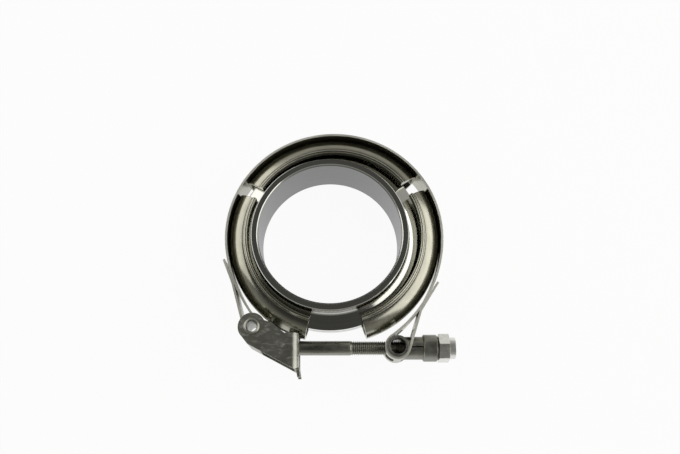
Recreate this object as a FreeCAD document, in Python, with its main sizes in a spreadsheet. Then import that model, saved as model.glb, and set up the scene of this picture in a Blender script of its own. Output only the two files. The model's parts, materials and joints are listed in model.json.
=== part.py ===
import FreeCAD, Part
import math
import os

import Sketcher
from FreeCAD import Placement, Rotation, Vector

# Quick-release V-band clamp holding a pair of exhaust flanges, in millimetres.
# The origin is on the bore axis at the joint of the two flanges. +Z runs along the bore and
# +X along the T-bolt, from the latch towards the lock nut.

doc = FreeCAD.newDocument("v_band_clamp")
sheet = doc.addObject("Spreadsheet::Sheet", "dims")

DIMENSIONS = [
    # flange pair
    ("bore_radius", 32.0),
    ("flange_height", 12.7),
    ("mouth_chamfer", 0.7),
    ("neck_radius", 35.2),
    ("neck_fillet", 1.7),
    ("neck_edge", 0.3),
    ("rim_radius", 42.5),
    ("rim_thickness", 3.6),
    ("rim_edge", 0.3),
    ("cone_angle", 20.0),
    ("register_inner", 34.6),
    ("register_outer", 38.4),
    ("register_depth", 1.5),
    ("register_gap", 0.1),
    # where the clamp sits on the flanges
    ("clamp_x", 1.95),
    ("clamp_y", 0.8),
    ("clamp_z", -0.6),
    # V-shaped retainers
    ("crown_radius", 48.5),
    ("crown_half", 5.0),
    ("retainer_sheet", 1.8),
    ("lip_radius", 41.0),
    ("lip_height", 9.6),
    ("shoulder_round", 5.0),
    ("lip_edge", 0.5),
    ("inner_edge", 1.05),
    ("top_start", 37.6),
    ("top_span", 109.4),
    ("left_start", 155.2),
    ("left_span", 99.2),
    ("right_start", 287.4),
    ("right_span", 100.8),
    # strap and its two loops
    ("strap_width", 15.5),
    ("strap_sheet", 1.0),
    ("left_leave", 191.0),
    ("right_leave", -1.0),
    ("left_split", 206.7),
    ("right_split", -42.5),
    ("left_tail_end", 193.5),
    ("right_tail_end", -25.7),
    ("left_tail_radius", 50.9),
    ("right_tail_radius", 51.3),
    ("loop_play", 0.05),
    ("shank_window", 3.6),
    ("barrel_window", 5.3),
    ("window_reach", 14.0),
    ("shank_swing", 5.4),
    ("barrel_swing", 8.7),
    # latch bracket and its tubular rivet
    ("pivot_x", -33.8),
    ("pivot_y", -41.5),
    ("latch_angle", 0.9),
    ("latch_inside", 8.05),
    ("latch_sheet", 1.4),
    ("latch_reach", 20.4),
    ("latch_bend", 3.2),
    ("eye_radius", 6.0),
    ("eye_top_angle", 50.0),
    ("eye_side_angle", 225.0),
    ("neck_x", 5.0),
    ("neck_y", 2.8),
    ("brow_x", 8.6),
    ("brow_y", 1.6),
    ("wall_top_x", 14.1),
    ("wall_top", -2.9),
    ("wall_foot", -17.4),
    ("toe_x", 18.5),
    ("toe_y", -18.4),
    ("heel_x", -1.74),
    ("heel_y", -7.42),
    ("web_end", 3.6),
    ("slot_half", 3.7),
    ("relief_half", 6.6),
    ("relief_depth", 2.3),
    ("mouth_half", 6.1),
    ("mouth_lip", 4.1),
    ("mouth_flare", 0.6),
    ("rivet_radius", 2.9),
    ("rivet_bore", 2.25),
    ("rivet_head_radius", 3.5),
    ("rivet_head", 0.7),
    ("rivet_rim", 0.3),
    ("rivet_mouth", 0.25),
    # T-bolt
    ("bolt_y", -49.7),
    ("shank_radius", 3.175),
    ("thread_radius", 3.1),
    ("thread_start", 9.2),
    ("bolt_end", 55.1),
    ("head_x", -18.4),
    ("head_radius", 3.4),
    ("head_half", 6.5),
    ("shank_step", 0.3),
    ("bolt_point", 0.5),
    # trunnion
    ("trunnion_x", 29.6),
    ("trunnion_radius", 4.6),
    ("trunnion_bore", 3.5),
    ("trunnion_half", 8.5),
    ("bolt_clearance", 0.3),
    ("barrel_radius", 5.0),
    ("barrel_end", 46.9),
    ("barrel_slit", 0.6),
    ("bolt_way_back", 10.0),
    ("bolt_way", 40.0),
    ("slit_length", 30.0),
    # collar and lock nut
    ("collar_start", 41.0),
    ("collar_end", 47.9),
    ("collar_radius", 5.9),
    ("collar_round", 1.0),
    ("nut_hex_end", 52.5),
    ("nut_end", 55.2),
    ("nut_across_flats", 11.11),
    ("nut_crown_radius", 4.7),
    ("nut_turn", -10.0),
    ("nut_play", 0.05),
    ("nut_cone_foot", 4.4),
    ("nut_cone_top", -0.6),
]

for row, (alias, value) in enumerate(DIMENSIONS, start=1):
    sheet.set(f"A{row}", alias)
    sheet.set(f"B{row}", str(value))
    sheet.setAlias(f"B{row}", alias)
doc.recompute()


def size(alias):
    """One driving dimension, as a plain number."""
    return float(getattr(sheet, alias))


def bind(thing, **links):
    """Ties properties of a document object to expressions over the sheet."""
    for prop, expression in links.items():
        thing.setExpression(prop.replace("__", "."), expression)
    return thing


def origin_plane(body, role):
    for feature in body.Origin.OriginFeatures:
        if feature.Role == role:
            return feature
    raise ValueError(role)


def new_body(label, placement=None):
    body = doc.addObject("PartDesign::Body", label)
    body.Label = label
    if placement is not None:
        body.Placement = placement
    return body


def new_sketch(body, name, role):
    sketch = body.newObject("Sketcher::SketchObject", name)
    sketch.AttachmentSupport = [(origin_plane(body, role), "")]
    sketch.MapMode = "FlatFace"
    return sketch


def pin_point(sketch, geometry, end, x_rule, y_rule):
    """Holds one sketch point at coordinates given as sheet expressions."""
    for kind, rule, axis in (("DistanceX", x_rule, -2), ("DistanceY", y_rule, -1)):
        value = float(sketch.evalExpression(rule))
        if abs(value) < 1e-9:
            sketch.addConstraint(Sketcher.Constraint("PointOnObject", geometry, end, axis))
            continue
        index = sketch.addConstraint(Sketcher.Constraint(kind, -1, 1, geometry, end, value))
        sketch.setExpression(f"Constraints[{index}]", rule)


def add_outline(sketch, corners):
    """A closed polygon whose corners are pairs of sheet expressions."""
    points = [Vector(*(float(sketch.evalExpression(rule)) for rule in corner), 0) for corner in corners]
    first = sketch.GeometryCount
    count = len(points)
    for here in range(count):
        sketch.addGeometry(Part.LineSegment(points[here], points[(here + 1) % count]))
    for here in range(count):
        after = first + (here + 1) % count
        sketch.addConstraint(Sketcher.Constraint("Coincident", first + here, 2, after, 1))
        pin_point(sketch, first + here, 1, *corners[here])


def add_circle(sketch, x_rule, y_rule, radius_rule):
    centre = Vector(float(sketch.evalExpression(x_rule)), float(sketch.evalExpression(y_rule)), 0)
    radius = float(sketch.evalExpression(radius_rule))
    index = sketch.addGeometry(Part.Circle(centre, Vector(0, 0, 1), radius))
    pin_point(sketch, index, 3, x_rule, y_rule)
    limit = sketch.addConstraint(Sketcher.Constraint("Radius", index, radius))
    sketch.setExpression(f"Constraints[{limit}]", radius_rule)


def revolve(body, sketch, name, axis="V_Axis", angle="360"):
    feature = body.newObject("PartDesign::Revolution", name)
    feature.Profile = sketch
    feature.ReferenceAxis = (sketch, [axis])
    feature.setExpression("Angle", angle)
    doc.recompute()
    return feature


def pad_both_ways(body, sketch, name, length):
    feature = body.newObject("PartDesign::Pad", name)
    feature.Profile = sketch
    feature.SideType = "Symmetric"
    feature.setExpression("Length", length)
    doc.recompute()
    return feature


def pocket_both_ways(body, sketch, name, length):
    before = body.Shape.Volume
    feature = body.newObject("PartDesign::Pocket", name)
    feature.Profile = sketch
    feature.SideType = "Symmetric"
    feature.setExpression("Length", length)
    doc.recompute()
    assert body.Shape.Volume < before - 0.1, f"{name} removes nothing"
    return feature


def edges_where(shape, test):
    """Names of the edges whose middle point passes the test."""
    found = []
    for index, edge in enumerate(shape.Edges, start=1):
        middle = edge.valueAt((edge.FirstParameter + edge.LastParameter) / 2)
        if test(edge, middle):
            found.append(f"Edge{index}")
    assert found, "no edge passes the test"
    return found


def ring_at(radius, height, tolerance=0.02):
    """Test for circular edges about the local Z axis, at one radius and height."""
    def test(edge, middle):
        near = abs(math.hypot(middle.x, middle.y) - radius) < tolerance
        return near and abs(middle.z - height) < tolerance and edge.Length > 4 * tolerance
    return test


def local_shape(body):
    """A copy of a body's shape in the body's own frame."""
    shape = body.Shape.copy()
    shape.Placement = body.Placement.inverse().multiply(shape.Placement)
    return shape


def round_edges(body, name, names, radius):
    base = body.Tip
    feature = body.newObject("PartDesign::Fillet", name)
    feature.Base = (base, names)
    feature.setExpression("Radius", radius)
    doc.recompute()
    return feature


# ---------------------------------------------------------------- flanges

CONE_RISE = "(dims.rim_radius - dims.neck_radius) * tan(dims.cone_angle * 1 deg)"


def build_flange(label, side, register):
    """One machined flange. side is 1 for the upper and -1 for the lower one."""
    body = new_body(label)
    profile = new_sketch(body, f"{label}_profile", "XZ_Plane")
    up = "" if side > 0 else "-"
    corners = [
        ("dims.bore_radius", "0"),
        ("dims.bore_radius", f"{up}(dims.flange_height - dims.mouth_chamfer)"),
        ("dims.bore_radius + dims.mouth_chamfer", f"{up}dims.flange_height"),
        ("dims.neck_radius - dims.neck_edge", f"{up}dims.flange_height"),
        ("dims.neck_radius", f"{up}(dims.flange_height - dims.neck_edge)"),
        ("dims.neck_radius", f"{up}(dims.rim_thickness + {CONE_RISE})"),
        ("dims.rim_radius", f"{up}dims.rim_thickness"),
        ("dims.rim_radius", f"{up}dims.rim_edge"),
        ("dims.rim_radius - dims.rim_edge", "0"),
    ]
    corners += register
    add_outline(profile, corners)
    revolve(body, profile, f"{label}_turned")
    corner_height = size("rim_thickness")
    corner_height += (size("rim_radius") - size("neck_radius")) * math.tan(math.radians(size("cone_angle")))
    neck_corner = edges_where(body.Shape, ring_at(size("neck_radius"), side * corner_height))
    round_edges(body, f"{label}_neck", neck_corner, "dims.neck_fillet")
    return body


def build_flanges():
    """The female flange is above and the male flange below, with a stepped register."""
    groove = [
        ("dims.register_outer + dims.register_gap", "0"),
        ("dims.register_outer + dims.register_gap", "dims.register_depth + dims.register_gap"),
        ("dims.register_inner - dims.register_gap", "dims.register_depth + dims.register_gap"),
        ("dims.register_inner - dims.register_gap", "0"),
    ]
    tongue = [
        ("dims.register_outer", "0"),
        ("dims.register_outer", "dims.register_depth"),
        ("dims.register_inner", "dims.register_depth"),
        ("dims.register_inner", "0"),
    ]
    return [build_flange("flange_upper", 1, groove), build_flange("flange_lower", -1, tongue)]


# ---------------------------------------------------------------- retainers

LEG_RISE = "tan(dims.cone_angle * 1 deg)"
LEG_WALL = "dims.retainer_sheet / cos(dims.cone_angle * 1 deg)"


def build_retainer(label, start):
    """One rolled V segment: a crown on the strap, two sloping legs and two upright lips."""
    turn = Rotation(Vector(0, 0, 1), size(f"{start}_start"))
    body = new_body(label, Placement(Vector(size("clamp_x"), size("clamp_y"), size("clamp_z")), turn))
    bind(
        body,
        Placement__Base__x="dims.clamp_x",
        Placement__Base__y="dims.clamp_y",
        Placement__Base__z="dims.clamp_z",
        Placement__Rotation__Angle=f"dims.{start}_start",
    )
    profile = new_sketch(body, f"{label}_profile", "XZ_Plane")
    inner_lip = "(dims.lip_radius - dims.retainer_sheet)"
    inner_crown = "dims.crown_radius - dims.retainer_sheet"
    half = [
        ("dims.crown_radius", "dims.crown_half"),
        ("dims.lip_radius", f"dims.crown_half + (dims.crown_radius - dims.lip_radius) * {LEG_RISE}"),
        ("dims.lip_radius", "dims.lip_height - dims.lip_edge"),
        ("dims.lip_radius - dims.lip_edge", "dims.lip_height"),
        (f"{inner_lip} + dims.lip_edge", "dims.lip_height"),
        (inner_lip, "dims.lip_height - dims.lip_edge"),
        (inner_lip, f"dims.crown_half + (dims.crown_radius - {inner_lip}) * {LEG_RISE} - {LEG_WALL}"),
        (
            f"{inner_crown} - dims.inner_edge",
            f"dims.crown_half + (dims.retainer_sheet + dims.inner_edge) * {LEG_RISE} - {LEG_WALL}",
        ),
        (inner_crown, f"dims.crown_half + dims.retainer_sheet * {LEG_RISE} - {LEG_WALL} - dims.inner_edge"),
    ]
    other_half = [(radius, f"-({height})") for radius, height in reversed(half)]
    add_outline(profile, half + other_half)
    revolve(body, profile, f"{label}_rolled", angle=f"dims.{start}_span")
    crown, half_crown = size("crown_radius"), size("crown_half")
    shoulders = edges_where(
        local_shape(body),
        lambda edge, middle: ring_at(crown, half_crown)(edge, middle) or ring_at(crown, -half_crown)(edge, middle),
    )
    round_edges(body, f"{label}_shoulders", shoulders, "dims.shoulder_round")
    return body


# ---------------------------------------------------------------- strap

def polar(centre, radius, degrees):
    angle = math.radians(degrees)
    return Vector(centre.x + radius * math.cos(angle), centre.y + radius * math.sin(angle), 0)


def bearing(start, end):
    return math.degrees(math.atan2(end.y - start.y, end.x - start.x))


def arc_face(centre, radius, first, last):
    """The strap's edge seen along Z on a curved stretch, between two bearings."""
    half = size("strap_sheet") / 2
    middle = (first + last) / 2
    rims = []
    for rim in (radius - half, radius + half):
        ends = [polar(centre, rim, bearing_now) for bearing_now in (first, middle, last)]
        rims.append((Part.Arc(*ends).toShape(), ends[0], ends[2]))
    inner, outer = rims
    sides = [Part.makeLine(inner[1], outer[1]), Part.makeLine(inner[2], outer[2])]
    return Part.Face(Part.Wire(Part.__sortEdges__([inner[0], outer[0]] + sides)))


def line_face(start, end):
    """The strap's edge seen along Z on a straight stretch."""
    half = size("strap_sheet") / 2
    along = (end - start).normalize()
    across = Vector(-along.y, along.x, 0) * half
    corners = [start + across, end + across, end - across, start - across]
    return Part.Face(Part.makePolygon(corners + corners[:1]))


def leaving_arc(centre, radius, leave, loop, loop_radius):
    """Centre and radius of the wider arc that leaves the ring and runs on into a loop."""
    unit = polar(Vector(0, 0, 0), 1, leave)
    reach = loop - centre
    along = reach.dot(unit)
    over = 2 * radius * along - reach.dot(reach) - radius ** 2 + loop_radius ** 2
    wide = over / (2 * (along - radius - loop_radius))
    return centre - unit * (wide - radius), wide


def ray_to_circle(start, degrees, centre, radius):
    """Where a ray at one bearing leaves a circle that it starts inside."""
    direction = polar(Vector(0, 0, 0), 1, degrees)
    offset = start - centre
    drop = offset.dot(direction)
    return start + direction * (-drop + math.sqrt(drop ** 2 - offset.dot(offset) + radius ** 2))


def strap_end_faces(side, centre, radius, loop, loop_radius, words):
    """Faces of one end of the strap: leaving arc, loop and folded tail. side: 1 left, -1 right."""
    leave, split, tail_end = (size(f"{words}_{word}") for word in ("leave", "split", "tail_end"))
    doubled = size("strap_sheet")
    wide_centre, wide = leaving_arc(centre, radius, leave, loop, loop_radius)
    run_in = bearing(wide_centre, loop) % 360
    first = leave % 360
    faces = [arc_face(wide_centre, wide, first, run_in)]
    split_point = ray_to_circle(centre, split, wide_centre, wide + doubled)
    reach = (loop - split_point).Length
    heading = bearing(split_point, loop) - side * math.degrees(math.asin(loop_radius / reach))
    touch = heading - side * 90
    wrap_start = run_in + 180
    while side * (wrap_start - touch) > 360:
        touch += side * 360
    while side * (wrap_start - touch) < 0:
        touch -= side * 360
    faces.append(arc_face(loop, loop_radius, wrap_start, touch))
    faces.append(line_face(split_point, polar(loop, loop_radius, touch)))
    faces.append(Part.Face(Part.Wire(Part.makeCircle(doubled / 2, split_point))))
    tip = polar(centre, size(f"{words}_tail_radius"), tail_end)
    faces.append(line_face(split_point, tip))
    return faces


def build_strap():
    """One spring strip round the retainers, rolled into a loop at each end and welded back."""
    width = size("strap_width")
    centre = Vector(size("clamp_x"), size("clamp_y"), 0)
    radius = size("crown_radius") + size("strap_sheet") / 2
    loop_wall = size("loop_play") + size("strap_sheet") / 2
    rivet = Vector(size("pivot_x"), size("pivot_y"), 0)
    trunnion = Vector(size("trunnion_x"), size("bolt_y"), 0)
    faces = [arc_face(centre, radius, size("right_leave"), size("left_leave"))]
    faces += strap_end_faces(1, centre, radius, rivet, size("rivet_radius") + loop_wall, "left")
    faces += strap_end_faces(-1, centre, radius, trunnion, size("trunnion_radius") + loop_wall, "right")
    pieces = [face.extrude(Vector(0, 0, width)) for face in faces]
    strip = pieces[0].multiFuse(pieces[1:])
    # windows through the right loop for the bolt's shank and for the barrel, with room to swing
    shank_half, barrel_half = size("shank_window"), size("barrel_window")
    reach, shank_swing, barrel_swing = size("window_reach"), size("shank_swing"), size("barrel_swing")
    shank_window = Part.makeBox(reach, shank_swing + shank_half, 2 * shank_half)
    shank_window.translate(Vector(trunnion.x - reach, trunnion.y - shank_swing, width / 2 - shank_half))
    barrel_window = Part.makeBox(reach, barrel_swing + barrel_half, 2 * barrel_half)
    barrel_window.translate(Vector(trunnion.x, trunnion.y - barrel_half, width / 2 - barrel_half))
    strip = strip.cut(shank_window).cut(barrel_window)
    strap = doc.addObject("Part::Feature", "band_strap")
    strap.Label = "band_strap"
    strap.Shape = strip.removeSplitter()
    strap.Placement = Placement(Vector(0, 0, size("clamp_z") - width / 2), Rotation())
    strap.setExpression("Placement.Base.z", "dims.clamp_z - dims.strap_width / 2")
    return strap


# ---------------------------------------------------------------- latch

def build_latch():
    """Folded bracket: two eye plates, a side web and an end wall open as a slot for the shank."""
    place = Placement(
        Vector(size("pivot_x"), size("pivot_y"), size("clamp_z")),
        Rotation(Vector(0, 0, 1), size("latch_angle")),
    )
    body = new_body("latch_hook", place)
    bind(
        body,
        Placement__Base__x="dims.pivot_x",
        Placement__Base__y="dims.pivot_y",
        Placement__Base__z="dims.clamp_z",
        Placement__Rotation__Angle="dims.latch_angle",
    )
    outer_width = "2 * (dims.latch_inside + dims.latch_sheet)"
    inner_width = "2 * dims.latch_inside"
    eye_top, eye_side = "dims.eye_top_angle * 1 deg", "dims.eye_side_angle * 1 deg"

    plate = new_sketch(body, "latch_side", "XY_Plane")
    add_outline(plate, [
        (f"dims.eye_radius * cos({eye_top})", f"dims.eye_radius * sin({eye_top})"),
        (f"dims.eye_radius * cos({eye_side})", f"dims.eye_radius * sin({eye_side})"),
        ("dims.heel_x", "dims.heel_y"),
        ("dims.toe_x", "dims.toe_y"),
        ("dims.latch_reach", "dims.wall_foot"),
        ("dims.latch_reach", "dims.wall_top"),
        ("dims.wall_top_x", "dims.wall_top"),
        ("dims.brow_x", "dims.brow_y"),
        ("dims.neck_x", "dims.neck_y"),
    ])
    pad_both_ways(body, plate, "latch_blank", outer_width)
    eye = new_sketch(body, "latch_eye", "XY_Plane")
    add_circle(eye, "0", "0", "dims.eye_radius")
    pad_both_ways(body, eye, "latch_eyes", outer_width)

    mouth = new_sketch(body, "latch_mouth", "XY_Plane")
    add_outline(mouth, [
        ("dims.latch_reach", "dims.wall_foot + dims.latch_sheet"),
        ("dims.latch_reach", "dims.wall_foot"),
        ("dims.latch_reach + dims.mouth_flare", "dims.wall_foot - dims.mouth_lip"),
        ("dims.latch_reach + dims.mouth_flare - dims.latch_sheet", "dims.wall_foot - dims.mouth_lip"),
        ("dims.latch_reach - dims.latch_sheet", "dims.wall_foot"),
        ("dims.latch_reach - dims.latch_sheet", "dims.wall_foot + dims.latch_sheet"),
    ])
    pad_both_ways(body, mouth, "latch_lips", "2 * dims.mouth_half")

    reach, half = size("latch_reach"), size("latch_inside") + size("latch_sheet")
    bends = edges_where(
        local_shape(body),
        lambda edge, middle: abs(middle.x - reach) < 0.01 and abs(abs(middle.z) - half) < 0.01,
    )
    round_edges(body, "latch_bends", bends, "dims.latch_bend")

    inside = new_sketch(body, "latch_inside", "XY_Plane")
    add_outline(inside, [
        ("-dims.latch_reach", "dims.latch_reach"),
        ("dims.latch_reach - dims.latch_sheet", "dims.latch_reach"),
        ("dims.latch_reach - dims.latch_sheet", "-dims.latch_reach"),
        ("-dims.latch_reach", "-dims.latch_reach"),
    ])
    pocket_both_ways(body, inside, "latch_channel", inner_width)
    inner_corner = size("latch_inside")
    bends = edges_where(
        local_shape(body),
        lambda edge, middle: abs(middle.x - reach + size("latch_sheet")) < 0.01
        and abs(abs(middle.z) - inner_corner) < 0.01,
    )
    round_edges(body, "latch_inner_bends", bends, "dims.latch_bend - dims.latch_sheet")

    web = new_sketch(body, "latch_web_edge", "XY_Plane")
    web_drop = "(dims.toe_y - dims.heel_y) / (dims.toe_x - dims.heel_x)"
    web_end = f"dims.heel_y + {web_drop} * (dims.web_end - dims.heel_x)"
    add_outline(web, [
        ("dims.heel_x", "dims.heel_y"),
        ("dims.web_end", web_end),
        ("dims.web_end", f"{web_end} + dims.latch_sheet"),
        ("dims.heel_x", "dims.heel_y + dims.latch_sheet"),
    ])
    pad_both_ways(body, web, "latch_web", "2 * (dims.latch_inside + dims.latch_sheet / 2)")

    def wall_cut(name, bottom, width):
        """Opens the end wall from its top edge down to a given level."""
        cut = new_sketch(body, f"{name}_end", "XY_Plane")
        add_outline(cut, [
            ("dims.wall_top_x", "dims.wall_top + dims.latch_sheet"),
            ("dims.latch_reach + 2 * dims.latch_sheet", "dims.wall_top + dims.latch_sheet"),
            ("dims.latch_reach + 2 * dims.latch_sheet", bottom),
            ("dims.wall_top_x", bottom),
        ])
        pocket_both_ways(body, cut, name, width)

    wall_cut("latch_relief", "dims.wall_top - dims.relief_depth", "2 * dims.relief_half")
    wall_cut("latch_slot", "dims.wall_foot - 2 * dims.mouth_lip", "2 * dims.slot_half")

    hole = new_sketch(body, "latch_hole_edge", "XY_Plane")
    add_circle(hole, "0", "0", "dims.rivet_radius")
    pocket_both_ways(body, hole, "latch_holes", outer_width)
    return body


def build_rivet():
    """Tubular rivet with a rolled head on each eye plate."""
    pivot = Vector(size("pivot_x"), size("pivot_y"), size("clamp_z"))
    body = new_body("latch_rivet", Placement(pivot, Rotation()))
    bind(
        body,
        Placement__Base__x="dims.pivot_x",
        Placement__Base__y="dims.pivot_y",
        Placement__Base__z="dims.clamp_z",
    )
    profile = new_sketch(body, "rivet_profile", "XZ_Plane")
    grip = "dims.latch_inside + dims.latch_sheet"
    half = [
        ("dims.rivet_radius", grip),
        ("dims.rivet_head_radius", grip),
        ("dims.rivet_head_radius", f"{grip} + dims.rivet_rim"),
        ("dims.rivet_radius", f"{grip} + dims.rivet_head"),
        ("dims.rivet_bore + dims.rivet_mouth", f"{grip} + dims.rivet_head - dims.rivet_mouth"),
        ("dims.rivet_bore", grip),
    ]
    other_half = [(radius, f"-({height})") for radius, height in reversed(half)]
    add_outline(profile, half + other_half)
    revolve(body, profile, "rivet_tube")
    return body


# ---------------------------------------------------------------- bolt, trunnion and nut

def on_bolt_axis(body):
    body.Placement = Placement(Vector(0, size("bolt_y"), size("clamp_z")), Rotation())
    bind(body, Placement__Base__y="dims.bolt_y", Placement__Base__z="dims.clamp_z")


def turned_on_bolt(label, corners):
    """A piece turned about the bolt's axis, from corners given as (distance along X, radius)."""
    body = new_body(label)
    on_bolt_axis(body)
    profile = new_sketch(body, f"{label}_profile", "XY_Plane")
    add_outline(profile, corners)
    revolve(body, profile, f"{label}_turned", axis="H_Axis")
    return body


def build_bolt():
    """T-bolt: a round cross bar, a plain shank and a thread with a chamfered point."""
    body = turned_on_bolt("t_bolt", [
        ("dims.head_x", "0"),
        ("dims.head_x", "dims.shank_radius"),
        ("dims.thread_start - dims.shank_step", "dims.shank_radius"),
        ("dims.thread_start", "dims.thread_radius"),
        ("dims.bolt_end - dims.bolt_point", "dims.thread_radius"),
        ("dims.bolt_end", "dims.thread_radius - dims.bolt_point"),
        ("dims.bolt_end", "0"),
    ])
    bar = new_sketch(body, "t_bolt_bar_end", "XY_Plane")
    add_circle(bar, "dims.head_x", "0", "dims.head_radius")
    pad_both_ways(body, bar, "t_bolt_bar", "2 * dims.head_half")
    return body


def cylinder(name, radius, height, placement, **links):
    thing = doc.addObject("Part::Cylinder", name)
    thing.Placement = placement
    return bind(thing, Radius=radius, Height=height, **links)


def build_trunnion():
    """Rolled strip: a cross tube along Z that runs out into two half shells round the bolt."""
    along_bolt = Rotation(Vector(0, 1, 0), 90)
    middle = Vector(size("trunnion_x"), size("bolt_y"), size("clamp_z"))
    low = middle - Vector(0, 0, size("trunnion_half"))
    at_bolt = {"Placement__Base__x": "dims.trunnion_x", "Placement__Base__y": "dims.bolt_y"}
    at_low = dict(at_bolt, Placement__Base__z="dims.clamp_z - dims.trunnion_half")
    at_middle = dict(at_bolt, Placement__Base__z="dims.clamp_z")
    length, upright = "2 * dims.trunnion_half", Placement(low, Rotation())
    tube = cylinder("trunnion_tube", "dims.trunnion_radius", length, upright, **at_low)
    barrel = cylinder(
        "trunnion_barrel", "dims.barrel_radius", "dims.barrel_end - dims.trunnion_x",
        Placement(middle, along_bolt), **at_middle,
    )
    solid = doc.addObject("Part::Fuse", "trunnion_solid")
    solid.Base, solid.Tool = tube, barrel
    bore = cylinder("trunnion_hollow", "dims.trunnion_bore", length, upright, **at_low)
    start = middle - Vector(size("bolt_way_back"), 0, 0)
    at_start = dict(at_middle, Placement__Base__x="dims.trunnion_x - dims.bolt_way_back")
    bolt_way = cylinder(
        "trunnion_bolt_way", "dims.shank_radius + dims.bolt_clearance", "dims.bolt_way",
        Placement(start, along_bolt), **at_start,
    )
    slit = doc.addObject("Part::Box", "trunnion_slit")
    slit.Placement = Placement(middle, Rotation())
    bind(
        slit,
        Length="dims.slit_length",
        Width="dims.barrel_slit",
        Height="4 * dims.barrel_radius",
        Placement__Base__x="dims.trunnion_x + dims.trunnion_radius",
        Placement__Base__y="dims.bolt_y - dims.barrel_slit / 2",
        Placement__Base__z="dims.clamp_z - 2 * dims.barrel_radius",
    )
    cutters = doc.addObject("Part::MultiFuse", "trunnion_cutters")
    cutters.Shapes = [bore, bolt_way, slit]
    trunnion = doc.addObject("Part::Cut", "trunnion")
    trunnion.Label = "trunnion"
    trunnion.Base, trunnion.Tool = solid, cutters
    doc.recompute()
    return trunnion


def build_collar():
    """Cap over the half shells with a washer face for the nut."""
    inner = "dims.barrel_radius"
    outer = "dims.collar_radius"
    way = "dims.shank_radius + dims.bolt_clearance"
    return turned_on_bolt("trunnion_collar", [
        ("dims.collar_start", inner),
        ("dims.collar_start", f"{outer} - dims.collar_round * 0.5"),
        ("dims.collar_start + dims.collar_round * 0.5", outer),
        ("dims.collar_end - dims.collar_round", outer),
        ("dims.collar_end", f"{outer} - dims.collar_round"),
        ("dims.collar_end", way),
        ("dims.barrel_end", way),
        ("dims.barrel_end", inner),
    ])


def build_nut():
    """All-metal lock nut: a chamfered hexagon that runs into a round crown."""
    turn = Rotation(Vector(0, 1, 0), 90).multiply(Rotation(Vector(0, 0, 1), size("nut_turn")))
    at_face = Vector(size("collar_end"), size("bolt_y"), size("clamp_z"))
    at_nut = {
        "Placement__Base__x": "dims.collar_end",
        "Placement__Base__y": "dims.bolt_y",
        "Placement__Base__z": "dims.clamp_z",
    }
    hexagon = doc.addObject("Part::Prism", "nut_hexagon")
    hexagon.Polygon = 6
    hexagon.Placement = Placement(at_face, turn)
    bind(
        hexagon,
        Circumradius="dims.nut_across_flats / 2 / cos(30 deg)",
        Height="dims.nut_hex_end - dims.collar_end",
        **at_nut,
    )
    length = "dims.nut_end - dims.collar_end"
    crown = cylinder("nut_crown", "dims.nut_crown_radius", length, Placement(at_face, turn), **at_nut)
    blank = doc.addObject("Part::Fuse", "nut_blank")
    blank.Base, blank.Tool = hexagon, crown
    cone = doc.addObject("Part::Cone", "nut_corner_cone")
    cone.Placement = Placement(at_face, turn)
    bind(
        cone,
        Radius1="dims.nut_across_flats / 2 + dims.nut_cone_foot",
        Radius2="dims.nut_across_flats / 2 + dims.nut_cone_top",
        Height=length,
        **at_nut,
    )
    rounded = doc.addObject("Part::Common", "nut_rounded")
    rounded.Base, rounded.Tool = blank, cone
    bore = cylinder(
        "nut_bore", "dims.thread_radius + dims.nut_play", length, Placement(at_face, turn), **at_nut,
    )
    nut = doc.addObject("Part::Cut", "lock_nut")
    nut.Label = "lock_nut"
    nut.Base, nut.Tool = rounded, bore
    doc.recompute()
    return nut


# ---------------------------------------------------------------- build and export

parts = build_flanges()
parts += [build_retainer(f"retainer_{name}", name) for name in ("top", "left", "right")]
parts.append(build_strap())
parts += [build_latch(), build_rivet(), build_bolt(), build_trunnion(), build_collar(), build_nut()]
doc.recompute()

for thing in doc.Objects:
    assert not {"Invalid", "Error"} & set(thing.State), f"{thing.Label}: {thing.State}"

os.makedirs("parts", exist_ok=True)
for part in parts:
    shape = part.Shape
    assert not shape.isNull() and shape.isValid(), part.Label
    assert len(shape.Solids) == 1, f"{part.Label} has {len(shape.Solids)} solids"
    shape.exportStep(f"parts/{part.Label}.step")
    print(part.Label, round(shape.Volume, 1))
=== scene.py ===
import json
import math

import bmesh
import bpy
from mathutils import Matrix, Vector


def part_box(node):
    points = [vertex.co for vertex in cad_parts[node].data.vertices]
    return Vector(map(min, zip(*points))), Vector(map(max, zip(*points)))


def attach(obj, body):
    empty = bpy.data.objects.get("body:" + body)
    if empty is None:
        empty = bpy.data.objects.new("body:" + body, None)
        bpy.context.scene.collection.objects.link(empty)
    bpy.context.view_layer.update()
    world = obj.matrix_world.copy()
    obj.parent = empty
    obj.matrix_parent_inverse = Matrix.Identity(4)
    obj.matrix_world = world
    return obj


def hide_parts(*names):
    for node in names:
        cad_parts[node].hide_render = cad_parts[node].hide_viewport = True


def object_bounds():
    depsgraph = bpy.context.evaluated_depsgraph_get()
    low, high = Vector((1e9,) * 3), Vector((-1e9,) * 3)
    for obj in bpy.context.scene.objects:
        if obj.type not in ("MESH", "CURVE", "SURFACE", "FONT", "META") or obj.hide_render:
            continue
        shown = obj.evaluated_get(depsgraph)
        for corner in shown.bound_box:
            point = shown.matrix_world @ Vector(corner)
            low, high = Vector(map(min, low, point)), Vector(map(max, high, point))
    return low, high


# V-band clamp round a pair of exhaust flanges, on a white table between two soft boxes.
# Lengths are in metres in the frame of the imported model: +Z along the bore, +X along the T-bolt.

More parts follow.
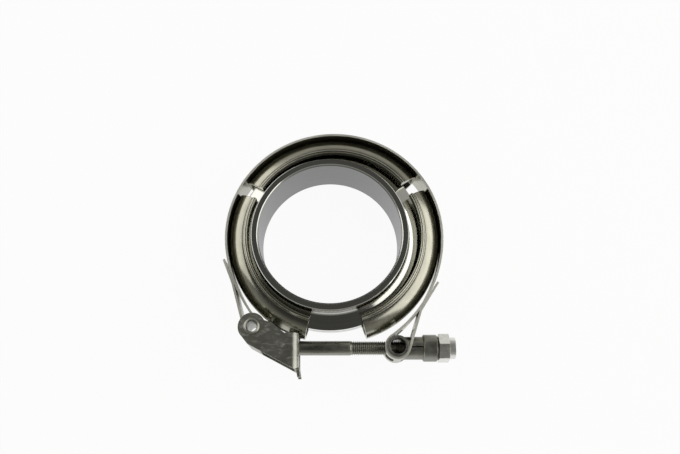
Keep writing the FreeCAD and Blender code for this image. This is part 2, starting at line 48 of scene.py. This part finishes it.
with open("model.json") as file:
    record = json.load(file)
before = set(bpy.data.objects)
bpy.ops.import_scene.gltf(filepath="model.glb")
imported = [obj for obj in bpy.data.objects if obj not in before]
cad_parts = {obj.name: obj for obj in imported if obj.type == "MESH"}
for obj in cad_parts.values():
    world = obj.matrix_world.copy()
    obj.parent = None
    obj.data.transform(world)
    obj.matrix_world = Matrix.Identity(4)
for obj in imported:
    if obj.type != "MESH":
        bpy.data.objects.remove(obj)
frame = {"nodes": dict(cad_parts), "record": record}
cad_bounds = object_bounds()
MM = 0.001
record = frame["record"]


# ---------------------------------------------------------------- node helpers

class Tree:
    """Short names for adding and wiring the nodes of one shader tree."""

    def __init__(self, tree):
        self.tree = tree

    def add(self, kind, wires=(), **settings):
        node = self.tree.nodes.new("ShaderNode" + kind)
        for name, value in settings.items():
            setattr(node, name, value)
        for socket, value in dict(wires).items():
            self.wire(node.inputs[socket], value)
        return node

    def wire(self, socket, value):
        if isinstance(value, bpy.types.NodeSocket):
            self.tree.links.new(value, socket)
        else:
            socket.default_value = value

    def math(self, operation, first, second=0.0, third=0.0):
        node = self.add("Math", operation=operation)
        for socket, value in zip(node.inputs, (first, second, third)):
            self.wire(socket, value)
        return node.outputs[0]

    def remap(self, value, low, high, to_low, to_high, smooth=False):
        kind = "SMOOTHSTEP" if smooth else "LINEAR"
        wires = {"Value": value, "From Min": low, "From Max": high, "To Min": to_low, "To Max": to_high}
        return self.add("MapRange", wires, interpolation_type=kind).outputs["Result"]

    def noise(self, vector, scale, detail=2.0, roughness=0.5):
        wires = {"Vector": vector, "Scale": scale, "Detail": detail, "Roughness": roughness}
        return self.add("TexNoise", wires).outputs["Fac"]

    def mix_colour(self, share, first, second):
        node = self.add("Mix", data_type="RGBA")
        self.wire(node.inputs["Factor"], share)
        self.wire(node.inputs["A"], first)
        self.wire(node.inputs["B"], second)
        return node.outputs["Result"]


def new_group(name, inputs, outputs):
    """A node group with named inputs (kind, default) and named outputs (kind)."""
    group = bpy.data.node_groups.new(name, "ShaderNodeTree")
    for label, (kind, default) in inputs.items():
        socket = group.interface.new_socket(label, in_out="INPUT", socket_type="NodeSocket" + kind)
        if default is not None:
            socket.default_value = default
    for label, kind in outputs.items():
        group.interface.new_socket(label, in_out="OUTPUT", socket_type="NodeSocket" + kind)
    tree = Tree(group)
    ins = group.nodes.new("NodeGroupInput").outputs
    outs = group.nodes.new("NodeGroupOutput").inputs
    return group, tree, ins, outs


CROWN_RADIUS = 48.5 * MM
ring_top, ring_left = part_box("retainer_top"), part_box("retainer_left")
RING_CENTRE = Vector((
    ring_left[0].x + CROWN_RADIUS, ring_top[1].y - CROWN_RADIUS, (ring_top[0].z + ring_top[1].z) / 2))


# ---------------------------------------------------------------- camera, floor and light

CAMERA_PLACE = Vector((2.31, -89.48, 306.58)) * MM
CAMERA_TURN = (17.344, -0.407, 0.071)
LENS_MM, SENSOR_MM = 36.53, 36.0
FLOOR_WHITE = 0.94
FLOOR_FLAT, RIM_RISE, RIM_STEPS, FLOOR_SIDES = 5.5, 0.65, 8, 96
ROOM_FRONT, ROOM_BACK = 0.34, 0.48
ROOM_TINT = (1.0, 0.99, 0.92, 1)


def set_camera():
    """Looks down on the clamp from the bolt's side."""
    data = bpy.data.cameras.new("camera")
    data.sensor_width, data.lens = SENSOR_MM, LENS_MM
    camera = bpy.data.objects.new("camera", data)
    bpy.context.scene.collection.objects.link(camera)
    turn = Matrix.Identity(4)
    for angle, axis in zip(CAMERA_TURN, "XYZ"):
        turn = turn @ Matrix.Rotation(math.radians(angle), 4, axis)
    camera.matrix_world = Matrix.Translation(CAMERA_PLACE) @ turn
    bpy.context.scene.camera = camera


def seen_share(tree, strength):
    """Non-zero for what the camera, a mirror or a clear piece sees, and zero for lighting."""
    path = tree.add("LightPath").outputs
    seen = tree.math("MAXIMUM", path["Is Camera Ray"], path["Is Glossy Ray"])
    seen = tree.math("MAXIMUM", seen, path["Is Transmission Ray"])
    return tree.math("MULTIPLY", seen, strength)


def lay_floor():
    """A wide white table whose far rim turns up into a low wall. It looks white and still takes a shadow."""
    low = cad_bounds[0][2]
    rings = [(0.5, 0.0), (FLOOR_FLAT, 0.0)]
    for step in range(1, RIM_STEPS + 1):
        turn = math.pi / 2 * step / RIM_STEPS
        rings.append((FLOOR_FLAT + RIM_RISE * math.sin(turn), RIM_RISE * (1 - math.cos(turn))))
    vertices = [(radius * math.cos(2 * math.pi * side / FLOOR_SIDES),
                 radius * math.sin(2 * math.pi * side / FLOOR_SIDES), low + height)
                for radius, height in rings for side in range(FLOOR_SIDES)]
    faces = [tuple(range(FLOOR_SIDES))]
    for ring in range(len(rings) - 1):
        for side in range(FLOOR_SIDES):
            after = (side + 1) % FLOOR_SIDES
            first, second = ring * FLOOR_SIDES, (ring + 1) * FLOOR_SIDES
            faces.append((first + side, second + side, second + after, first + after))
    mesh = bpy.data.meshes.new("floor")
    mesh.from_pydata(vertices, [], faces)
    mesh.shade_smooth()
    floor = bpy.data.objects.new("floor", mesh)
    bpy.context.scene.collection.objects.link(floor)
    material = bpy.data.materials.new("white_table")
    material.use_nodes = True
    tree = Tree(material.node_tree)
    shader = tree.tree.nodes["Principled BSDF"]
    shader.inputs["Base Color"].default_value = (0.9, 0.9, 0.9, 1)
    shader.inputs["Roughness"].default_value = 0.9
    shader.inputs["Specular IOR Level"].default_value = 0.1
    glow = tree.add("Emission", {"Color": (1, 1, 1, 1), "Strength": 1.0})
    mixed = tree.add("MixShader", {0: seen_share(tree, FLOOR_WHITE), 1: shader.outputs[0], 2: glow.outputs[0]})
    tree.wire(tree.tree.nodes["Material Output"].inputs[0], mixed.outputs[0])
    mesh.materials.append(material)


def light_room():
    """A dim room, darkest overhead and in front and lighter behind the clamp."""
    world = bpy.data.worlds.new("studio_room")
    bpy.context.scene.world = world
    world.use_nodes = True
    tree = Tree(world.node_tree)
    way = tree.add("TexCoord").outputs["Generated"]
    split = tree.add("SeparateXYZ", {0: way}).outputs
    overhead = tree.remap(split["Z"], 0.45, 0.9, 1.0, 0.16, smooth=True)
    depth = tree.remap(split["Y"], -0.4, 0.6, ROOM_FRONT, ROOM_BACK, smooth=True)
    tree.wire(tree.tree.nodes["Background"].inputs["Color"], tree.mix_colour(
        tree.math("MULTIPLY", overhead, depth), (0, 0, 0, 1), ROOM_TINT))


def add_soft_box(name, azimuth, height, width, tall, radiance):
    """A plain rectangular lamp a metre away whose face has the given radiance."""
    data = bpy.data.lights.new(name, "AREA")
    data.shape = "RECTANGLE"
    data.size, data.size_y = width, tall
    data.energy = radiance * math.pi * width * tall
    data.color = (1.0, 0.99, 0.95)
    lamp = bpy.data.objects.new(name, data)
    bpy.context.scene.collection.objects.link(lamp)
    turn, rise = math.radians(azimuth), math.radians(height)
    lamp.location = (math.cos(turn) * math.cos(rise), math.sin(turn) * math.cos(rise), math.sin(rise))
    lamp.rotation_euler = (-lamp.location).to_track_quat("-Z", "Y").to_euler()


# ---------------------------------------------------------------- surface effects

def make_soft_edge():
    """Rounds the look of sharp edges and mixes in a fine bump."""
    group, tree, ins, outs = new_group(
        "soft_edge",
        {"Radius": ("Float", 0.0003), "Height": ("Float", 0.0), "Strength": ("Float", 0.1), "Depth": ("Float", 0.00002)},
        {"Normal": "Vector"},
    )
    rounded = tree.add("Bevel", {"Radius": ins["Radius"]}, samples=4)
    bump = tree.add("Bump", {
        "Strength": ins["Strength"], "Distance": ins["Depth"],
        "Height": ins["Height"], "Normal": rounded.outputs[0],
    })
    tree.wire(outs["Normal"], bump.outputs[0])
    return group


def make_ring_grain():
    """Grain left by rolling or turning, which runs round the bore."""
    group, tree, ins, outs = new_group(
        "ring_grain",
        {"Along": ("Float", 6.0), "Across": ("Float", 1500.0), "Centre": ("Vector", (0, 0, 0))},
        {"Lines": "Float", "Broad": "Float"},
    )
    place = tree.add("TexCoord").outputs["Object"]
    place = tree.add("VectorMath", {0: place, 1: ins["Centre"]}, operation="SUBTRACT").outputs[0]
    split = tree.add("SeparateXYZ", {0: place}).outputs
    radius = tree.math("SQRT", tree.math(
        "ADD", tree.math("POWER", split["X"], 2.0), tree.math("POWER", split["Y"], 2.0)))
    turn = tree.math("ARCTAN2", split["Y"], split["X"])
    around = tree.add("CombineXYZ", {
        "X": tree.math("MULTIPLY", tree.math("COSINE", turn), ins["Along"]),
        "Y": tree.math("MULTIPLY", tree.math("SINE", turn), ins["Along"]),
        "Z": tree.math("MULTIPLY", tree.math("ADD", radius, tree.math("MULTIPLY", split["Z"], 1.3)), ins["Across"]),
    })
    tree.wire(outs["Lines"], tree.noise(around.outputs[0], 1.0, 3.0, 0.6))
    tree.wire(outs["Broad"], tree.noise(place, 70.0, 3.0, 0.55))
    return group


def make_bar_grain():
    """Grain that runs along the bolt."""
    group, tree, ins, outs = new_group(
        "bar_grain",
        {"Along": ("Float", 60.0), "Across": ("Float", 2500.0)},
        {"Lines": "Float", "Broad": "Float"},
    )
    place = tree.add("TexCoord").outputs["Object"]
    split = tree.add("SeparateXYZ", {0: place}).outputs
    stretched = tree.add("CombineXYZ", {
        "X": tree.math("MULTIPLY", split["X"], ins["Along"]),
        "Y": tree.math("MULTIPLY", split["Y"], ins["Across"]),
        "Z": tree.math("MULTIPLY", split["Z"], ins["Across"]),
    })
    tree.wire(outs["Lines"], tree.noise(stretched.outputs[0], 1.0, 3.0, 0.6))
    tree.wire(outs["Broad"], tree.noise(place, 180.0, 4.0, 0.6))
    return group


def make_scuffs():
    """Dull pressed sheet with lighter scuffs and rubbed patches."""
    group, tree, ins, outs = new_group(
        "pressed_scuffs", {"Scale": ("Float", 260.0)}, {"Scuff": "Float", "Broad": "Float", "Fine": "Float"})
    place = tree.add("TexCoord").outputs["Object"]
    slanted = tree.add("Mapping", {"Vector": place, "Rotation": (0, 0, 0.6), "Scale": (1.0, 2.4, 1.0)}).outputs[0]
    patch = tree.noise(slanted, ins["Scale"], 4.0, 0.65)
    tree.wire(outs["Scuff"], tree.remap(patch, 0.5, 0.72, 0.0, 1.0, smooth=True))
    tree.wire(outs["Broad"], tree.noise(place, 90.0, 2.0))
    tree.wire(outs["Fine"], tree.noise(place, 2200.0, 2.0))
    return group


SOFT_EDGE = make_soft_edge()
RING_GRAIN = make_ring_grain()
BAR_GRAIN = make_bar_grain()
SCUFFS = make_scuffs()


# ---------------------------------------------------------------- materials

def new_metal(name, roughness):
    material = bpy.data.materials.new(name)
    material.use_nodes = True
    tree = Tree(material.node_tree)
    shader = tree.tree.nodes["Principled BSDF"]
    shader.inputs["Metallic"].default_value = 1.0
    shader.inputs["Roughness"].default_value = roughness
    return material, tree, shader


def use_group(tree, group, **wires):
    node = tree.add("Group", node_tree=group)
    for socket, value in wires.items():
        tree.wire(node.inputs[socket], value)
    return node.outputs


def grained_metal(name, group, dark, light, roughness, spread, edge=0.00025, strength=0.12, **grain_sizes):
    """Bare metal whose tone and gloss vary along its grain."""
    material, tree, shader = new_metal(name, roughness)
    grain = use_group(tree, group, **grain_sizes)
    tone = tree.math("ADD", tree.math("MULTIPLY", grain["Lines"], 0.55), tree.math("MULTIPLY", grain["Broad"], 0.45))
    tone = tree.remap(tone, 0.36, 0.64, 0.0, 1.0)
    tree.wire(shader.inputs["Base Color"], tree.mix_colour(tone, (*dark, 1), (*light, 1)))
    tree.wire(shader.inputs["Roughness"], tree.remap(
        grain["Broad"], 0.35, 0.65, roughness - spread, roughness + spread))
    normal = use_group(tree, SOFT_EDGE, Radius=edge, Height=grain["Lines"], Strength=strength)
    tree.wire(shader.inputs["Normal"], normal["Normal"])
    return material


def slit_strap():
    """Rolled strip whose sheared edges are matt and paler than its faces."""
    material, tree, shader = new_metal("rolled_strap_steel", 0.28)
    grain = use_group(tree, RING_GRAIN, Centre=RING_CENTRE)
    facing = tree.add("SeparateXYZ", {0: tree.add("NewGeometry").outputs["Normal"]}).outputs["Z"]
    edge = tree.remap(tree.math("ABSOLUTE", facing), 0.5, 0.8, 0.0, 1.0)
    face = tree.mix_colour(tree.remap(grain["Lines"], 0.36, 0.64, 0.0, 1.0),
                           (0.34, 0.335, 0.28, 1), (0.47, 0.465, 0.4, 1))
    sheared = tree.mix_colour(tree.remap(grain["Broad"], 0.36, 0.64, 0.0, 1.0),
                              (0.55, 0.55, 0.5, 1), (0.72, 0.72, 0.67, 1))
    tree.wire(shader.inputs["Base Color"], tree.mix_colour(edge, face, sheared))
    tree.wire(shader.inputs["Roughness"], tree.remap(edge, 0.0, 1.0, 0.28, 0.58))
    normal = use_group(tree, SOFT_EDGE, Radius=0.0002, Height=grain["Lines"], Strength=0.12)
    tree.wire(shader.inputs["Normal"], normal["Normal"])
    return material


def turned_flange():
    """Polished on the outside, with a duller and greyer bore."""
    material, tree, shader = new_metal("turned_flange_steel", 0.1)
    grain = use_group(tree, RING_GRAIN, Along=1.5, Across=5200.0)
    place = tree.add("TexCoord").outputs["Object"]
    split = tree.add("SeparateXYZ", {0: place}).outputs
    radius = tree.math("SQRT", tree.math(
        "ADD", tree.math("POWER", split["X"], 2.0), tree.math("POWER", split["Y"], 2.0)))
    outside = tree.remap(radius, BORE_RADIUS + 0.25 * MM, BORE_RADIUS + 0.6 * MM, 0.0, 1.0)
    lines = tree.remap(grain["Lines"], 0.35, 0.65, 0.0, 1.0)
    bore = tree.mix_colour(lines, (0.17, 0.175, 0.17, 1), (0.22, 0.225, 0.22, 1))
    polish = tree.mix_colour(lines, (0.58, 0.58, 0.55, 1), (0.66, 0.66, 0.63, 1))
    tree.wire(shader.inputs["Base Color"], tree.mix_colour(outside, bore, polish))
    tree.wire(shader.inputs["Roughness"], tree.remap(outside, 0.0, 1.0, 0.34, 0.1))
    normal = use_group(tree, SOFT_EDGE, Radius=0.00006, Height=grain["Lines"], Strength=0.04)
    tree.wire(shader.inputs["Normal"], normal["Normal"])
    return material


def pressed_latch():
    """Dull grey pressed sheet with light scuffs."""
    material, tree, shader = new_metal("pressed_latch_steel", 0.42)
    marks = use_group(tree, SCUFFS)
    base = tree.mix_colour(tree.remap(marks["Broad"], 0.35, 0.65, 0.0, 1.0),
                           (0.30, 0.30, 0.265, 1), (0.42, 0.42, 0.375, 1))
    tree.wire(shader.inputs["Base Color"], tree.mix_colour(marks["Scuff"], base, (0.5, 0.5, 0.46, 1)))
    tree.wire(shader.inputs["Roughness"], tree.remap(marks["Scuff"], 0.0, 1.0, 0.36, 0.5))
    normal = use_group(tree, SOFT_EDGE, Radius=0.00035, Height=marks["Fine"], Strength=0.15)
    tree.wire(shader.inputs["Normal"], normal["Normal"])
    return material


BORE_RADIUS = next(mount for mount in record["mounts"] if mount["name"] == "pipe_bore")["dims"]["r_mm"] * MM


def make_materials():
    return {
        "flange_steel": turned_flange(),
        "strap_steel": slit_strap(),
        "retainer_steel": grained_metal(
            "rolled_retainer_steel", RING_GRAIN, (0.33, 0.322, 0.27), (0.43, 0.422, 0.36), 0.2, 0.04, edge=0.0003,
            Centre=RING_CENTRE),
        "latch_steel": pressed_latch(),
        "rivet_steel": grained_metal(
            "rivet_tube_steel", BAR_GRAIN, (0.25, 0.25, 0.22), (0.36, 0.36, 0.33), 0.32, 0.06,
            Along=900.0, Across=900.0),
        "bolt_steel": grained_metal(
            "dark_bolt_steel", BAR_GRAIN, (0.2, 0.2, 0.17), (0.32, 0.32, 0.28), 0.3, 0.06, edge=0.00015),
        "trunnion_steel": grained_metal(
            "dark_trunnion_steel", BAR_GRAIN, (0.22, 0.22, 0.19), (0.34, 0.34, 0.31), 0.38, 0.06),
        "collar_steel": grained_metal(
            "drawn_collar_steel", BAR_GRAIN, (0.2, 0.2, 0.18), (0.32, 0.32, 0.29), 0.34, 0.06),
        "nut_zinc": grained_metal(
            "plated_nut", BAR_GRAIN, (0.66, 0.66, 0.62), (0.8, 0.8, 0.76), 0.3, 0.05, edge=0.0002,
            Along=500.0, Across=500.0),
    }


# ---------------------------------------------------------------- threaded T-bolt

THREAD_PITCH = 0.907 * MM
THREAD_DEPTH = 0.5 * MM
THREAD_LENGTH = 45.9 * MM
THREAD_SAMPLES = 8
BOLT_SIDES = 56
SHANK_RADIUS = 3.17 * MM
THREAD_RADIUS = 3.09 * MM
POINT_LENGTH = 0.6 * MM
BAR_RADIUS = 3.39 * MM
WELD_GAP = 0.004 * MM


def thread_radius(turns):
    """Outer radius at a distance along the thread, in pitches: flat crest, sloping flanks, flat root."""
    step = abs((turns % 1.0) - 0.5) * 2
    flank = min(max((step - 0.15) / 0.7, 0.0), 1.0)
    return THREAD_RADIUS - THREAD_DEPTH * flank


def smooth_object(name, vertices, faces):
    mesh = bpy.data.meshes.new(name)
    mesh.from_pydata(vertices, [], faces)
    mesh.update()
    mesh.shade_smooth()
    mesh.set_sharp_from_angle(angle=math.radians(50))
    thing = bpy.data.objects.new(name, mesh)
    bpy.context.scene.collection.objects.link(thing)
    return thing


def lathe(rings, sides):
    """Vertices and faces of a closed turned solid about +X. rings are (x, radius of the side's angle)."""
    vertices, faces = [], []
    for along, radius_at in rings:
        for side in range(sides):
            angle = 2 * math.pi * side / sides
            radius = radius_at(angle)
            vertices.append((along, radius * math.cos(angle), radius * math.sin(angle)))
    for ring in range(len(rings) - 1):
        for side in range(sides):
            after = (side + 1) % sides
            first, second = ring * sides, (ring + 1) * sides
            faces.append((first + side, first + after, second + after, second + side))
    faces.append(tuple(reversed(range(sides))))
    last = (len(rings) - 1) * sides
    faces.append(tuple(last + side for side in range(sides)))
    return vertices, faces


def weld(body, addition):
    """Joins a second solid into the first, so that no face is left inside."""
    joint = body.modifiers.new("weld", "BOOLEAN")
    joint.operation, joint.solver, joint.object = "UNION", "EXACT", addition
    whole = body.evaluated_get(bpy.context.evaluated_depsgraph_get())
    mesh = bpy.data.meshes.new_from_object(whole)
    tidy = bmesh.new()
    tidy.from_mesh(mesh)
    bmesh.ops.triangulate(tidy, faces=tidy.faces)
    bmesh.ops.remove_doubles(tidy, verts=tidy.verts, dist=WELD_GAP)
    bmesh.ops.dissolve_degenerate(tidy, edges=tidy.edges, dist=WELD_GAP)
    tidy.to_mesh(mesh)
    tidy.free()
    body.modifiers.clear()
    body.data = mesh
    bpy.data.objects.remove(addition)
    mesh.shade_smooth()
    mesh.set_sharp_from_angle(angle=math.radians(50))


def build_bolt():
    """Plain shank, right-hand rolled thread with a chamfered point, and a round cross bar."""
    low, high = (Vector(corner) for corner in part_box("t_bolt"))
    axis_y, axis_z = (low.y + high.y) / 2, (low.z + high.z) / 2
    start, end = high.x - THREAD_LENGTH, high.x
    bar_x = low.x + BAR_RADIUS

    def plain(radius):
        return lambda angle: radius

    rings = [(bar_x, plain(SHANK_RADIUS)), (start - 0.3 * MM, plain(SHANK_RADIUS))]
    count = round(THREAD_LENGTH / THREAD_PITCH * THREAD_SAMPLES)
    for step in range(count + 1):
        along = start + (end - start) * step / count

        def threaded(angle, along=along):
            turns = (along - start) / THREAD_PITCH - angle / (2 * math.pi)
            fade = min((along - start) / THREAD_PITCH, 1.0)
            cut = (THREAD_RADIUS - thread_radius(turns)) * fade
            point = THREAD_RADIUS - max(along - (end - POINT_LENGTH), 0.0)
            return min(THREAD_RADIUS - cut, point)

        rings.append((along, threaded))
    vertices, faces = lathe(rings, BOLT_SIDES)
    bar_half = (high.z - low.z) / 2
    bar_edge = 0.4 * MM
    bar_rings = [
        (-bar_half, plain(BAR_RADIUS - bar_edge)), (-bar_half + bar_edge, plain(BAR_RADIUS)),
        (bar_half - bar_edge, plain(BAR_RADIUS)), (bar_half, plain(BAR_RADIUS - bar_edge)),
    ]
    bar_vertices, bar_faces = lathe(bar_rings, BOLT_SIDES)
    bolt = smooth_object("threaded_t_bolt", vertices, faces)
    bar = smooth_object("cross_bar", [(bar_x + y, z, x) for x, y, z in bar_vertices], bar_faces)
    weld(bolt, bar)
    bolt.location = (0, axis_y, axis_z)
    return bolt


# ---------------------------------------------------------------- folded retainers

CROWN_INSIDE = 46.7 * MM
CROWN_FLAT = 0.5 * MM
SHOULDER_PULL = 5.5 * MM
INNER_CORNERS = ((46.7 * MM, 2.69 * MM), (45.65 * MM, 4.12 * MM), (39.2 * MM, 6.47 * MM))
COLLAR_INSIDE, COLLAR_OUTSIDE = 39.2 * MM, 40.9 * MM
COLLAR_TOP = 9.6 * MM
CREASE_ROUND = 0.5 * MM
CREASE_HEIGHT = 7.75 * MM
LEG_PULL = 1.3 * MM
RETAINER_ARCS = {"retainer_top": (37.6, 109.4), "retainer_left": (155.2, 99.2), "retainer_right": (287.4, 100.8)}
ARC_STEP = 1.0


def arc(centre, radius, start, end, steps):
    """Points of a circular arc in a profile, from one angle to another in degrees."""
    angles = [math.radians(start + (end - start) * step / steps) for step in range(steps + 1)]
    return [(centre[0] + radius * math.cos(a), centre[1] + radius * math.sin(a)) for a in angles]


def bezier(first, pull, push, last, steps):
    points = []
    for step in range(1, steps + 1):
        t = step / steps
        weights = ((1 - t) ** 3, 3 * t * (1 - t) ** 2, 3 * t * t * (1 - t), t ** 3)
        points.append(tuple(
            sum(weight * point[axis] for weight, point in zip(weights, (first, pull, push, last))) for axis in (0, 1)))
    return points


def retainer_profile():
    """Half profile (radius, height) from the inside of the crown, over the turned-up collar, to the crown."""
    round_top = (COLLAR_OUTSIDE - COLLAR_INSIDE) / 2
    top_centre = (COLLAR_INSIDE + round_top, COLLAR_TOP - round_top)
    crease_centre = (COLLAR_OUTSIDE + CREASE_ROUND, CREASE_HEIGHT + CREASE_ROUND)
    leg_start = (crease_centre[0], CREASE_HEIGHT)
    points = list(INNER_CORNERS)
    points += arc(top_centre, round_top, 180, 0, 12)
    points += arc(crease_centre, CREASE_ROUND, 180, 270, 6)
    points += bezier(leg_start, (leg_start[0] + LEG_PULL, CREASE_HEIGHT), (CROWN_RADIUS, SHOULDER_PULL),
                     (CROWN_RADIUS, CROWN_FLAT), 16)
    return points


def build_retainer(node, centre):
    """A stamped channel swept round the clamp's axis, with its ends cut square."""
    start, span = RETAINER_ARCS[node]
    upper = retainer_profile()
    profile = upper + [(radius, -height) for radius, height in reversed(upper)]
    steps = round(span / ARC_STEP)
    vertices = []
    for step in range(steps + 1):
        turn = math.radians(start + span * step / steps)
        vertices += [centre + Vector((r * math.cos(turn), r * math.sin(turn), z)) for r, z in profile]
    count = len(profile)
    faces = [(step * count + i, step * count + (i + 1) % count,
              (step + 1) * count + (i + 1) % count, (step + 1) * count + i)
             for step in range(steps) for i in range(count)]
    faces.append(tuple(reversed(range(count))))
    faces.append(tuple(steps * count + i for i in range(count)))
    return smooth_object(node.replace("retainer", "folded_retainer"), vertices, faces)


# ---------------------------------------------------------------- scene

bpy.context.scene.view_settings.view_transform = "Standard"
set_camera()
lay_floor()
light_room()
add_soft_box("left_soft_box", azimuth=152, height=29, width=1.15, tall=1.0, radiance=1.2)
add_soft_box("right_soft_box", azimuth=-1, height=34, width=1.25, tall=1.1, radiance=1.6)

materials = make_materials()
slot_names = {entry["node"]: entry["material_slot"] for entry in record["subparts"]}
for node, thing in frame["nodes"].items():
    for slot in thing.material_slots:
        slot.material = materials[slot_names[node]]

bolt = build_bolt()
bolt.data.materials.append(materials["bolt_steel"])
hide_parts("t_bolt")
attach(bolt, "bolt")

for node in RETAINER_ARCS:
    retainer = build_retainer(node, RING_CENTRE)
    retainer.data.materials.append(materials["retainer_steel"])
    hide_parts(node)
    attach(retainer, "band")
